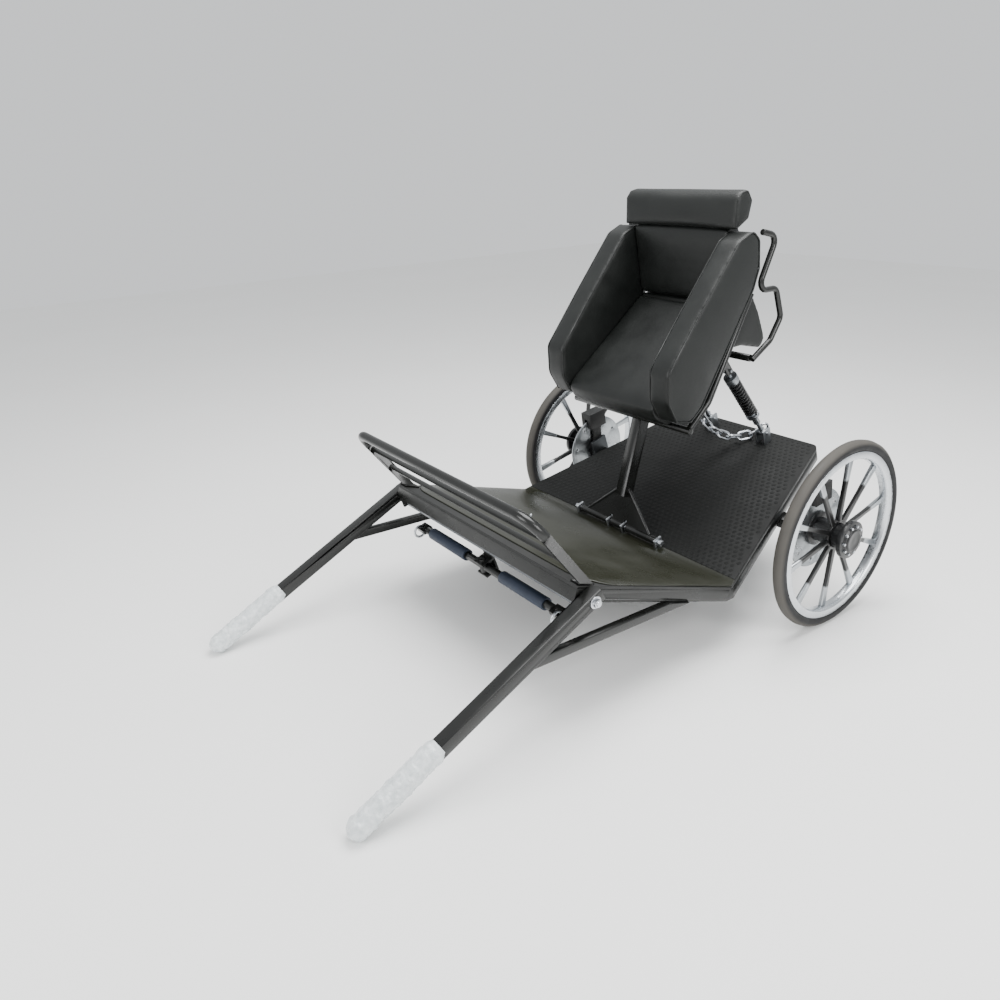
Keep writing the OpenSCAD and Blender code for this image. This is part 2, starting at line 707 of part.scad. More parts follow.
module seat_back() {
    color(leather) soft([[118.4, 606.4], [224, 591.4], [214, 700], [206, 838], [146, 826]],
        [6, 20, 0, 20, 8], -cushion_w / 2, cushion_w / 2);
}
module headrest() {
    color(leather) soft([[144, 826], [210, 839.2], [238, 884], [226, 922], [196, 926], [172, 912]],
        [8, 14, 18, 14, 8, 12], -head_w / 2, head_w / 2);
}
module rear_pad() {
    a = on_pan(cushion_back + soft_gap, 0);
    color(leather) soft([[a.x, a.y], [150, 452], [232, 400], [256, 430], [246, 520], [228, 590.4],
        [118.6, 605.9]], [4, 10, 20, 16, 10, 12, 4], -cushion_w / 2, cushion_w / 2);
}

// ---- Shocks and limit chain ----
shock_run = shock_foot - shock_top;
shock_l = norm(shock_run);
module shock_place() {
    translate([shock_x, shock_top.x, shock_top.y]) rotate([180 + atan2(shock_run.x, -shock_run.y), 0, 0]) children();
}
module shock_absorbers() {
    eye_d = 26;
    color("#8f9498") both() {
        shock_place() difference() {
            union() {
                for (z = [0, shock_l]) translate([-shock_ear / 2 + 1, 0, z]) rotate([0, 90, 0])
                    cylinder(h = shock_ear - 2, d = eye_d);
                cylinder(h = shock_l, d = 14);
                translate([0, 0, 34]) cylinder(h = spring_top - 34, d = spring_d);
                translate([0, 0, spring_top]) cylinder(h = spring_run, d = spring_in);
                translate([0, 0, spring_top + spring_run]) cylinder(h = 12, d = spring_d);
                translate([0, 0, spring_top + spring_run + 12]) cylinder(h = 40, d = 24);
            }
            for (z = [0, shock_l]) translate([-shock_ear, 0, z]) rotate([0, 90, 0])
                cylinder(h = 2 * shock_ear, d = shock_pin_d);
        }
        for (p = [shock_top, shock_foot]) translate([shock_x - shock_ear / 2 - 10, p.x, p.y])
            rotate([0, 90, 0]) cylinder(h = shock_ear + 20, d = shock_pin_d);
        // The clevis that carries the foot stands on the deck.
        for (x = [shock_x - shock_ear / 2 - 6, shock_x + shock_ear / 2]) difference() {
            translate([x, shock_foot.x - 18, 0]) cube([6, 36, shock_foot.y + 14]);
            translate([x - 1, shock_foot.x, shock_foot.y]) rotate([0, 90, 0])
                cylinder(h = 8, d = shock_pin_d);
        }
    }
}
spring_in = 30;
spring_wire = (spring_d - spring_in) / 2;
spring_turns = 12;
spring_top = 60;
spring_run = 178;
module shock_springs() {
    pitch = spring_run / spring_turns;
    color("#1b1b1b") both() shock_place() for (i = [0:spring_turns - 1])
        translate([0, 0, spring_top + pitch / 2 + i * pitch]) rotate_extrude()
            translate([(spring_d - spring_wire) / 2, 0]) circle(d = spring_wire, $fn = 16);
}

// The chain hangs in a curve from its hanger down to an eye bolt on the deck.
hanger_top = [0, on_pan(310, 0).x, on_pan(310, 0).y - tube_d];
chain_curve = [[shock_x - 32, 296, 26], [40, 230, -8], [-20, 40, 60], hanger_top - [0, 0, 10]];
link_in = link_len - 2 * chain_wire;
link_play = 0.4;
link_roll = 40;
hanger_len = 34;
function on_curve(t) = let (c = chain_curve, k = 1 - t)
    k * k * k * c[0] + 3 * k * k * t * c[1] + 3 * k * t * t * c[2] + t * t * t * c[3];
// The place on the curve that lies one link further on, found by halving.
function step_from(p, lo, hi, n = 14) = n == 0 ? (lo + hi) / 2 :
    let (m = (lo + hi) / 2)
    norm(on_curve(m) - p) < link_in - link_play ? step_from(p, m, hi, n - 1) : step_from(p, lo, m, n - 1);
function chain_joints(t) = norm(on_curve(1) - on_curve(t)) < link_in + hanger_len ? [on_curve(t)] :
    concat([on_curve(t)], chain_joints(step_from(on_curve(t), t, min(1, t + 0.4))));
joints = chain_joints(0);

module along(p, u, roll) {
    flat = unit(cross(chain_curve[3] - chain_curve[0], [0, 0, 1]));
    v = unit(flat - (flat * u) * u);
    w = cross(u, v);
    multmatrix([[v.x, w.x, u.x, p.x], [v.y, w.y, u.y, p.y], [v.z, w.z, u.z, p.z], [0, 0, 0, 1]])
        rotate([0, 0, roll]) children();
}
module chain_link() {
    bend_r = (link_w - chain_wire) / 2;
    straight = link_len - link_w;
    for (k = [0, 180]) rotate([0, k, 0]) {
        translate([bend_r, 0, -straight / 2]) cylinder(h = straight, d = chain_wire, $fn = 24);
        translate([0, 0, straight / 2]) rotate([90, 0, 0]) rotate_extrude(angle = 180, $fn = 24)
            translate([bend_r, 0]) circle(d = chain_wire, $fn = 24);
    }
}
module limit_chain() {
    last = len(joints) - 1;
    u0 = unit(joints[1] - joints[0]);
    rod_end = joints[last] + [0, 0, 12];
    color(bright) {
        for (i = [0:last - 1]) let (a = joints[i], b = joints[i + 1])
            along((a + b) / 2, unit(b - a), link_roll + 90 * (i % 2)) chain_link();
        // The eye bolt on the deck and the hanger under the seat frame.
        translate([joints[0].x, joints[0].y, joints[0].z] - u0 * 10) rotate([0, 0, 62]) rotate([90, 0, 0])
            rotate_extrude() translate([14.5, 0]) circle(d = chain_wire, $fn = 24);
        translate([joints[0].x - u0.x * 10, joints[0].y - u0.y * 10, 0]) cylinder(h = 9, d = 20);
        translate(rod_end) rotate([90, 0, 30]) rotate_extrude() translate([16.5, 0])
            circle(d = chain_wire, $fn = 24);
        bar(rod_end + [0, 0, 16], hanger_top, 10);
    }
}

parked() deck_frame();
parked() deck_board();
parked() front_panel();
parked() rear_mat();
parked() front_covering();
parked() dash_rail();
parked() front_bar();
parked() shaft(1);  // left_shaft
parked() shaft(-1);  // right_shaft
parked() shaft_tip(1);  // left_shaft_tip
parked() shaft_tip(-1);  // right_shaft_tip
parked() tip_wrap(1);  // left_tip_wrap
parked() tip_wrap(-1);  // right_tip_wrap
parked() brace(1);  // left_brace
parked() brace(-1);  // right_brace
parked() shaft_bolts();
parked() axle_beam();
parked() stub_axle(1);  // left_stub_axle
parked() stub_axle(-1);  // right_stub_axle
parked() caliper(1);  // left_caliper
parked() caliper(-1);  // right_caliper
parked() seat_hinge();
parked() seat_post();
parked() seat_frame();
parked() grab_loops(1);  // left_grab_loops
parked() grab_loops(-1);  // right_grab_loops
parked() seat_cushion();
parked() bolster(1);  // left_bolster
parked() bolster(-1);  // right_bolster
parked() seat_back();
parked() headrest();
parked() rear_pad();
parked() shock_absorbers();
parked() shock_springs();
parked() limit_chain();
parked() deck_fitting();
parked() swingletree_bracket();
parked() swingletree_bar();
parked() swingletree_sleeves();
parked() trace_rings();
parked() tyre(1);  // left_tyre
parked() rim(1);  // left_rim
parked() spoke_set(1);  // left_spokes
parked() hub(1);  // left_hub
parked() brake_disc(1);  // left_brake_disc
parked() tyre(-1);  // right_tyre
parked() rim(-1);  // right_rim
parked() spoke_set(-1);  // right_spokes
parked() hub(-1);  // right_hub
parked() brake_disc(-1);  // right_brake_disc
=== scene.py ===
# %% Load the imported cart
import json
import math

import bmesh
import bpy
from mathutils import Matrix, Vector, noise


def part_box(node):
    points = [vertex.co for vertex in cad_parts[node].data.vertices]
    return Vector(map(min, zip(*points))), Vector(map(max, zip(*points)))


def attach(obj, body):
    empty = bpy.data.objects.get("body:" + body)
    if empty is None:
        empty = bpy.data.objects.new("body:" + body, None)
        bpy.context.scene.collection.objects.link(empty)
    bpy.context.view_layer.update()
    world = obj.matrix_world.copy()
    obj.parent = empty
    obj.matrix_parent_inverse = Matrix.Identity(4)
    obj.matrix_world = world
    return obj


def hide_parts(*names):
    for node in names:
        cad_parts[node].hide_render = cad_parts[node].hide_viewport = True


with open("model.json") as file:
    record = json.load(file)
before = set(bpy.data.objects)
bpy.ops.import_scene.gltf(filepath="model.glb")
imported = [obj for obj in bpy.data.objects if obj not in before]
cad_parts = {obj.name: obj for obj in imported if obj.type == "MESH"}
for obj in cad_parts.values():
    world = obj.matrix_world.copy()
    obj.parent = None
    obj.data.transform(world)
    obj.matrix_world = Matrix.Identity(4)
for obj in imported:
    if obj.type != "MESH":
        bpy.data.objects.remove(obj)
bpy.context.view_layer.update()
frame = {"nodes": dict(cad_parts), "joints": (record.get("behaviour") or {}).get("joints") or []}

# %% [markdown]
# The cart stands nose down on its wheels and shaft tips, so its deck isn't level.
# Everything on the deck is easier to place in the deck's own level coordinates.
# The joints give the tilt and the wheel centre, so the two views of the same
# place are joined by one matrix, in millimetres on the deck's side.

# %% From deck millimetres to the parked cart
DECK_OVER_AXLE = 49
joints = {joint["name"]: joint for joint in frame["joints"]}
wheel_centre = Vector(joints["left_wheel_spin"]["pos_m"])
pivot_axis = joints["swingletree_pivot"]["axis"]
nose_down = math.atan2(-pivot_axis[1], pivot_axis[2])
deck = (
    Matrix.Translation((0, wheel_centre.y, wheel_centre.z))
    @ Matrix.Rotation(nose_down, 4, "X")
    @ Matrix.Scale(0.001, 4)
    @ Matrix.Translation((0, 0, DECK_OVER_AXLE))
)


def mm(value):
    """A length in millimetres, in Blender's metres."""
    return value / 1000


print("nose down by", round(math.degrees(nose_down), 2), "degrees")

# %% [markdown]
# A camera is a place and three directions: right, up and the way it looks.
# Blender's camera looks along its own -Z, so the third column is turned round.

# %% Camera
LENS_MM = 29.04
CAMERA_PLACE = (1.795, -1.454, 1.391)
camera_data = bpy.data.cameras.new("camera")
camera_data.lens = LENS_MM
camera_data.sensor_width = 36
camera = bpy.data.objects.new("camera", camera_data)
bpy.context.scene.collection.objects.link(camera)
bpy.context.scene.camera = camera
looks = Vector((-0.752, 0.532, -0.389)).normalized()
right = Vector((0.589, 0.808, -0.032))
right = (right - looks * right.dot(looks)).normalized()
above = right.cross(looks)
camera.matrix_world = Matrix.Translation(CAMERA_PLACE) @ Matrix(
    (right, above, -looks)
).transposed().to_4x4()
print("camera at", tuple(round(v, 3) for v in camera.location))

# %% [markdown]
# The studio is a pale floor, a bright even sky and three soft lights. Black
# paint and vinyl show their shape only by what they reflect, so the lights are
# large: a wide panel overhead draws the long highlights on tubes and padding.

# %% Floor, sky and lights
def new_object(name, mesh):
    """A mesh or curve as an object in the scene."""
    made = bpy.data.objects.new(name, mesh)
    bpy.context.scene.collection.objects.link(made)
    return made


def linear(hex_colour):
    """An sRGB hex colour as the linear colour that shaders work in."""
    parts = [int(hex_colour[i : i + 2], 16) / 255 for i in (1, 3, 5)]
    return [*(c / 12.92 if c <= 0.04045 else ((c + 0.055) / 1.055) ** 2.4 for c in parts), 1]


floor_mesh = bpy.data.meshes.new("floor")
floor_mesh.from_pydata([(-9, -9, 0), (9, -9, 0), (9, 9, 0), (-9, 9, 0)], [], [(0, 1, 2, 3)])
floor = new_object("floor", floor_mesh)

world = bpy.data.worlds.new("studio")
bpy.context.scene.world = world
world.use_nodes = True
world.node_tree.nodes["Background"].inputs["Color"].default_value = linear("#F4F6F8")
world.node_tree.nodes["Background"].inputs["Strength"].default_value = 1.0


def soft_light(name, place, target, size, watts):
    """A square area light that faces a target."""
    data = bpy.data.lights.new(name, "AREA")
    data.size = size
    data.energy = watts
    lamp = new_object(name, data)
    lamp.location = place
    lamp.rotation_euler = (Vector(target) - Vector(place)).to_track_quat("-Z", "Y").to_euler()


soft_light("overhead", (0.2, 0.6, 3.6), (0, 0.1, 0.4), 2.6, 210)
soft_light("left_side", (3.2, 0.2, 2.2), (0, 0.3, 0.6), 1.6, 70)
soft_light("front", (0.4, -3.2, 1.8), (0, 0.2, 0.5), 1.6, 50)

# %% [markdown]
# Every finish is a small node tree. One helper adds a node, sets it and links
# it, so that each material below reads as a list of what its surface has.
# Patterns are sized from real millimetres: a scale is how often one fits in a
# metre.

# %% Two helpers for materials
def add(tree, kind, own=None, **inputs):
    """Adds a shader node. own holds its settings; inputs are values or sockets, i0 being the first."""
    node = tree.nodes.new("ShaderNode" + kind)
    for key, value in (own or {}).items():
        setattr(node, key, value)
    for key, value in inputs.items():
        place = int(key[1:]) if key[0] == "i" and key[1:].isdigit() else key.replace("_", " ")
        if isinstance(value, bpy.types.NodeSocket):
            tree.links.new(value, node.inputs[place])
        else:
            node.inputs[place].default_value = value
    return node


def surface(name, **values):
    """A new material: its tree, its shader and the coordinates of the piece in metres."""
    material = bpy.data.materials.new(name)
    material.use_nodes = True
    tree = material.node_tree
    shader = tree.nodes["Principled BSDF"]
    for key, value in values.items():
        shader.inputs[key.replace("_", " ")].default_value = value
    return material, tree, shader, add(tree, "TexCoord").outputs["Object"]


def per_metre(millimetres):
    """How often a pattern of that size fits in a metre."""
    return 1000 / millimetres


# %% [markdown]
# Most finishes share two touches: the colour drifts a little over the piece,
# and a fine bump breaks up the highlights. Both are noise at a real size.

# %% Drift and bump
def drift(tree, shader, where, dark, light, patch_mm, rough=None):
    """The colour wanders between two hexes in patches, and the roughness with it."""
    patches = add(tree, "TexNoise", Vector=where, Scale=per_metre(patch_mm), Detail=5.0)
    mix = add(tree, "Mix", {"data_type": "RGBA"}, Factor=patches.outputs["Fac"])
    mix.inputs[6].default_value = linear(dark)
    mix.inputs[7].default_value = linear(light)
    tree.links.new(mix.outputs[2], shader.inputs["Base Color"])
    if rough:
        spread = add(tree, "MapRange", Value=patches.outputs["Fac"], From_Min=0.3, From_Max=0.7)
        spread.inputs["To Min"].default_value, spread.inputs["To Max"].default_value = rough
        tree.links.new(spread.outputs["Result"], shader.inputs["Roughness"])


def relief(tree, shader, height, depth_mm, strength=1.0, under=None):
    """A bump from a height pattern, on top of another bump if there is one."""
    bump = add(tree, "Bump", Height=height, Distance=mm(depth_mm), Strength=strength)
    if under:
        tree.links.new(under.outputs["Normal"], bump.inputs["Normal"])
    tree.links.new(bump.outputs["Normal"], shader.inputs["Normal"])
    return bump


# %% [markdown]
# Frame tubes, shafts and posts are steel under black powder coat. The powder
# melts into a glossy skin with a faint orange peel, about 2 mm from crest to
# crest, drawn at 4 mm so that it shows. Handling dulls it in patches.

# %% Black powder coat, sprayed and baked
def powder_coat(name, dark, light, rough, peel=0.05):
    material, tree, shader, where = surface(name, IOR=1.5)
    drift(tree, shader, where, dark, light, 90, rough)
    skin = add(tree, "TexNoise", Vector=where, Scale=per_metre(4), Detail=2.0)
    relief(tree, shader, skin.outputs["Fac"], peel)
    return material


black_coat = powder_coat("black_powder_coat", "#0A0B0A", "#141513", (0.2, 0.36))
grey_coat = powder_coat("grey_satin_paint", "#53565A", "#6E7174", (0.34, 0.5))
board_paint = powder_coat("black_board_paint", "#0A0B0A", "#161715", (0.42, 0.6), 0.12)
coil_coat = powder_coat("black_coil_coat", "#0C0C0C", "#171716", (0.22, 0.34))
hub_coat = powder_coat("black_hub_enamel", "#0D0D0E", "#191A1B", (0.24, 0.38), 0.03)
casting = powder_coat("black_cast_iron", "#0E0E0E", "#1A1A19", (0.5, 0.7), 0.3)
print("coats", black_coat.name, grey_coat.name, casting.name)

# %% [markdown]
# Bolts, rings, the chain and the hinge are zinc plated. Zinc is a cool metal
# with tiny crystals, so its gloss changes from spot to spot.

# %% Zinc plate and turned steel
def plated(name, dark, light, rough, crystal_mm):
    material, tree, shader, where = surface(name, Metallic=1.0)
    drift(tree, shader, where, dark, light, crystal_mm * 8, rough)
    crystals = add(tree, "TexVoronoi", Vector=where, Scale=per_metre(crystal_mm))
    relief(tree, shader, crystals.outputs["Distance"], 0.05)
    return material


zinc = plated("bright_zinc_plate", "#A9ADB2", "#DADDE0", (0.2, 0.38), 3)
damper_steel = plated("satin_damper_tube", "#84888C", "#B3B7BA", (0.3, 0.45), 3)
dark_steel = plated("dark_forged_steel", "#3A3C3E", "#55585A", (0.4, 0.55), 5)


def from_axle(tree, where):
    """The distance of a point from the line of the axles, in metres."""
    centre = (0, wheel_centre.y, wheel_centre.z)
    arm = add(tree, "VectorMath", {"operation": "SUBTRACT"}, i0=where, i1=centre)
    flat = add(tree, "VectorMath", {"operation": "MULTIPLY"}, i0=arm.outputs[0], i1=(0, 1, 1))
    length = add(tree, "VectorMath", {"operation": "LENGTH"}, i0=flat.outputs[0])
    return length.outputs["Value"]


def turned_rings(tree, radius, ring_mm):
    """A ridge every ring_mm out from the axle, as a lathe leaves."""
    phase = add(tree, "Math", {"operation": "MULTIPLY"}, i0=radius, i1=math.tau * per_metre(ring_mm))
    return add(tree, "Math", {"operation": "SINE"}, i0=phase.outputs[0]).outputs[0]


disc_steel, tree, shader, where = surface("turned_disc_steel", Metallic=1.0)
drift(tree, shader, where, "#8E9295", "#BFC3C5", 40, (0.25, 0.4))
relief(tree, shader, turned_rings(tree, from_axle(tree, where), 2), 0.05)

alloy, tree, shader, where = surface("machined_alloy", Metallic=1.0)
drift(tree, shader, where, "#B4B9BE", "#E4E7EA", 60, (0.2, 0.32))
relief(tree, shader, turned_rings(tree, from_axle(tree, where), 1.5), 0.02)
print("metals", zinc.name, disc_steel.name, alloy.name)

# %% [markdown]
# The spokes are black enamel near the hub, and their outer third is machined
# back to bright metal. The distance from the axle picks which one shows.

# %% Spokes, black inside and bright outside
spoke_enamel, tree, shader, where = surface("spoke_enamel")
BRIGHT_FROM, BRIGHT_FULL = 0.172, 0.18
bright = add(
    tree, "MapRange", Value=from_axle(tree, where), From_Min=BRIGHT_FROM, From_Max=BRIGHT_FULL
).outputs["Result"]
drift(tree, shader, where, "#0E0E0E", "#1B1B1B", 40)
enamel = shader.inputs["Base Color"].links[0].from_socket
two_tone = add(tree, "Mix", {"data_type": "RGBA"}, Factor=bright)
tree.links.new(enamel, two_tone.inputs[6])
two_tone.inputs[7].default_value = linear("#AEB2B5")
tree.links.new(two_tone.outputs[2], shader.inputs["Base Color"])
tree.links.new(bright, shader.inputs["Metallic"])
shader.inputs["Roughness"].default_value = 0.28
grain = add(tree, "TexNoise", Vector=where, Scale=per_metre(3), Detail=2.0)
relief(tree, shader, grain.outputs["Fac"], 0.04)
print("spokes turn bright at", BRIGHT_FROM, "m")

# %% [markdown]
# The tyres are solid rubber. The tread is worn to a warm grey, and the
# shoulders and the wall beside the rim stay nearly black.

# %% Solid rubber tyre
tyre_rubber, tree, shader, where = surface("solid_tyre_rubber", Specular_IOR_Level=0.35)
WALL, TREAD = 0.284, 0.2935
worn = add(tree, "MapRange", Value=from_axle(tree, where), From_Min=WALL, From_Max=TREAD)
drift(tree, shader, where, "#3E3C39", "#53504B", 50, (0.6, 0.78))
tread = shader.inputs["Base Color"].links[0].from_socket
rubber_mix = add(tree, "Mix", {"data_type": "RGBA"}, Factor=worn.outputs["Result"])
rubber_mix.inputs[6].default_value = linear("#1A1A1B")
tree.links.new(tread, rubber_mix.inputs[7])
tree.links.new(rubber_mix.outputs[2], shader.inputs["Base Color"])
scuffs = add(tree, "TexNoise", Vector=where, Scale=per_metre(5), Detail=6.0)
relief(tree, shader, scuffs.outputs["Fac"], 0.3, 0.5)

# %% [markdown]
# The rear deck has a moulded rubber coin mat, matt and nearly black. The front
# has a smooth vinyl sheet with an olive cast that reflects the sky in streaks.

# %% Rubber mat and olive vinyl sheet
mat_rubber, tree, shader, where = surface("moulded_mat_rubber", Specular_IOR_Level=0.22)
drift(tree, shader, where, "#0B0C0B", "#151615", 120, (0.48, 0.66))
dust = add(tree, "TexNoise", Vector=where, Scale=per_metre(6), Detail=6.0)
relief(tree, shader, dust.outputs["Fac"], 0.15, 0.6)

olive_vinyl, tree, shader, where = surface("olive_vinyl_sheet", IOR=1.5)
drift(tree, shader, where, "#1B1C13", "#27281F", 150, (0.24, 0.38))
ripple = add(tree, "TexNoise", Vector=where, Scale=per_metre(70), Detail=2.0)
relief(tree, shader, ripple.outputs["Fac"], 0.8, 0.4)

# %% [markdown]
# The seat is upholstered in black vinyl. Its embossed grain is a net of small
# cells about 1.5 mm across, drawn at 2.5 mm so that it shows, and the cover
# pulls into slow creases where the foam is soft.

# %% Upholstery vinyl, embossed
GRAIN_MM = 2.5
seat_vinyl, tree, shader, where = surface("embossed_seat_vinyl", IOR=1.5, Specular_IOR_Level=0.4)
drift(tree, shader, where, "#0A0C0B", "#141715", 80, (0.38, 0.52))
creases = add(tree, "TexNoise", Vector=where, Scale=per_metre(60), Detail=3.0)
soft_bump = relief(tree, shader, creases.outputs["Fac"], 1.6, 0.6)
cells = add(tree, "TexVoronoi", {"feature": "DISTANCE_TO_EDGE"}, Vector=where, Scale=per_metre(GRAIN_MM))
relief(tree, shader, cells.outputs["Distance"], 0.25, 0.5, soft_bump)
print("grain of", GRAIN_MM, "mm")

# %% [markdown]
# Foam sleeves on the swingletree are dark navy with fine closed cells. The
# shaft ends are wrapped in clear packing film over pale wadding: many layers
# turn milky, and every fold throws a sharp glint. The film's colour wanders in
# patches from milky white to bluish grey, partly uneven layers, partly painted shade.

# %% Foam sleeve and packing film
sleeve_foam, tree, shader, where = surface("closed_cell_foam", Specular_IOR_Level=0.35)
drift(tree, shader, where, "#1E2532", "#2D3646", 30, (0.5, 0.68))
pores = add(tree, "TexVoronoi", Vector=where, Scale=per_metre(2))
relief(tree, shader, pores.outputs["Distance"], 0.2, 0.5)

packing_film, tree, shader, where = surface("packing_film", IOR=1.5)
shader.inputs["Coat Weight"].default_value = 0.6
shader.inputs["Coat Roughness"].default_value = 0.1
# Painted shade: the bluish-grey patches stand for shade among the folds, and the white ones are the
# milky layers.
drift(tree, shader, where, "#AAB4B7", "#F3F6F6", 14, (0.14, 0.34))
folds = add(tree, "TexNoise", Vector=where, Scale=per_metre(12), Detail=6.0, Distortion=1.5)
relief(tree, shader, folds.outputs["Fac"], 3.0, 0.8)
floor_paint, tree, shader, where = surface("pale_floor", Roughness=0.9)
drift(tree, shader, where, "#F4F4F2", "#F9F9F8", 900)
floor.data.materials.append(floor_paint)
print("materials", len(bpy.data.materials))

# %% [markdown]
# CAD edges are perfectly sharp, and nothing real is. A weld joins the split
# corners and a small bevel rounds each sharp edge, so that it catches light.
# Modifiers leave the CAD mesh itself as it is.

# %% Give each CAD node its finish and soft edges
FINISHES = {
    black_coat: "deck_frame dash_rail left_shaft right_shaft left_brace right_brace axle_beam"
    " seat_post seat_frame left_grab_loops right_grab_loops swingletree_bracket swingletree_bar"
    " left_shaft_tip right_shaft_tip",
    grey_coat: "front_bar",
    board_paint: "deck_board front_panel",
    mat_rubber: "rear_mat",
    olive_vinyl: "front_covering",
    zinc: "shaft_bolts limit_chain deck_fitting trace_rings seat_hinge",
    damper_steel: "shock_absorbers",
    dark_steel: "left_stub_axle right_stub_axle",
    casting: "left_caliper right_caliper",
    sleeve_foam: "swingletree_sleeves",
    tyre_rubber: "left_tyre right_tyre",
    alloy: "left_rim right_rim",
    spoke_enamel: "left_spokes right_spokes",
    hub_coat: "left_hub right_hub",
    disc_steel: "left_brake_disc right_brake_disc",
}
EDGE_MM = {
    "deck_frame": 2, "deck_board": 1.5, "front_panel": 1.5, "front_covering": 2, "rear_mat": 1.5,
    "left_shaft": 3, "right_shaft": 3, "left_brace": 2.5, "right_brace": 2.5, "seat_post": 1.2,
    "left_spokes": 1.5, "right_spokes": 1.5, "left_hub": 1.2, "right_hub": 1.2,
    "left_tyre": 3, "right_tyre": 3, "front_bar": 1, "axle_beam": 3,
}
SMALL_EDGE_MM = 0.8
SHARP_DEGREES = 38


def finish_node(name, material, edge_mm):
    """Puts a finish on a CAD node, joins its split corners and rounds its sharp edges."""
    node = frame["nodes"][name]
    node.data.materials.clear()
    node.data.materials.append(material)
    weld = node.modifiers.new("weld", "WELD")
    weld.merge_threshold = mm(0.02)
    bevel = node.modifiers.new("bevel", "BEVEL")
    bevel.width = mm(edge_mm)
    bevel.segments = 2
    bevel.limit_method = "ANGLE"
    bevel.angle_limit = math.radians(SHARP_DEGREES)
    bevel.harden_normals = True
    node.data.polygons.foreach_set("use_smooth", [True] * len(node.data.polygons))


for material, names in FINISHES.items():
    for name in names.split():
        finish_node(name, material, EDGE_MM.get(name, SMALL_EDGE_MM))
print("finished", sum(len(names.split()) for names in FINISHES.values()), "CAD nodes")

# %% [markdown]
# Each padded piece of the seat is foam in a sewn cover. Its CAD solid gives the
# size, so the piece starts as a copy of that solid, remeshed into small even
# squares. Cloth with air pressure inside then swells the faces while the seam
# edges are held, as thread holds them. Nothing moves further than a cap.

# %% A padded piece from a CAD solid
CLOTH_FRAMES = 16
PRESSURE = 4.0
SEAM_LOW, SEAM_HIGH = 0.3, 0.88
STIFFNESS = 25


def applied(piece):
    """Replaces a piece's mesh by what its modifiers make of it."""
    graph = bpy.context.evaluated_depsgraph_get()
    made = bpy.data.meshes.new_from_object(piece.evaluated_get(graph))
    piece.modifiers.clear()
    piece.data = made


def even_skin(name, node, voxel_mm, inset_mm):
    """A remeshed copy of a CAD solid, drawn in by inset_mm, with its seam edges in a group."""
    piece = new_object(name, frame["nodes"][node].data.copy())
    piece.modifiers.new("weld", "WELD").merge_threshold = mm(0.05)
    remesh = piece.modifiers.new("remesh", "REMESH")
    remesh.mode = "VOXEL"
    remesh.voxel_size = mm(voxel_mm)
    applied(piece)
    piece.data.materials.clear()
    piece.data.materials.append(seat_vinyl)
    normals = [v.normal.copy() for v in piece.data.vertices]
    for vertex, normal in zip(piece.data.vertices, normals):
        vertex.co -= normal * mm(inset_mm)
    seams = piece.vertex_groups.new(name="seams")
    held = [i for i, n in enumerate(normals) if SEAM_LOW < abs(n.x) < SEAM_HIGH]
    seams.add(held, 1.0, "REPLACE")
    return piece


def swell(piece, cap_mm):
    """Blows the cover up with cloth, held at its seams, and caps how far it moves."""
    start = [v.co.copy() for v in piece.data.vertices]
    cloth = piece.modifiers.new("cloth", "CLOTH")
    cloth.settings.use_pressure = True
    cloth.settings.uniform_pressure_force = PRESSURE
    cloth.settings.vertex_group_mass = "seams"
    cloth.settings.tension_stiffness = STIFFNESS
    cloth.settings.compression_stiffness = STIFFNESS
    cloth.settings.effector_weights.gravity = 0
    cloth.point_cache.frame_end = CLOTH_FRAMES
    for step in range(1, CLOTH_FRAMES + 1):
        bpy.context.scene.frame_set(step)
    applied(piece)
    bpy.context.scene.frame_set(1)
    furthest = 0.0
    for vertex, before in zip(piece.data.vertices, start):
        move = vertex.co - before
        furthest = max(furthest, move.length)
        if move.length > mm(cap_mm):
            vertex.co = before + move.normalized() * mm(cap_mm)
    return furthest


def upholstered(node, voxel_mm=7, inset_mm=3, cap_mm=9, rounds=10):
    """The padded piece that stands for a soft CAD node."""
    piece = even_skin("padded_" + node, node, voxel_mm, inset_mm)
    moved = swell(piece, cap_mm)
    smooth = piece.modifiers.new("smooth", "SMOOTH")
    smooth.factor = 0.5
    smooth.iterations = rounds
    piece.modifiers.new("subdivide", "SUBSURF").levels = 1
    applied(piece)
    piece.data.polygons.foreach_set("use_smooth", [True] * len(piece.data.polygons))
    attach(piece, "chassis")
    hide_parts(node)
    print(piece.name, len(piece.data.polygons), "faces, swelled up to", round(moved * 1000, 1), "mm")


# %% [markdown]
# The cushion is firm and flat, the bolsters stand full and round, and the
# headrest is the fullest of all.

# %% Cushion, bolsters, back, headrest and rear pad
upholstered("seat_cushion", inset_mm=2, cap_mm=8)
for side in ("left", "right"):
    upholstered(side + "_bolster", inset_mm=2.5, cap_mm=9)
upholstered("seat_back", inset_mm=2, cap_mm=7)
upholstered("headrest", voxel_mm=6, inset_mm=0.5, cap_mm=8, rounds=16)
upholstered("rear_pad", inset_mm=2, cap_mm=7)

# %% [markdown]
# A welt is a cord sewn into a seam to give it a clean ridge. It runs round both
# edges of each bolster and of the headrest. The edge is read from the CAD
# solid: it is where a flat side meets the band, so the welt needs no points of
# its own.

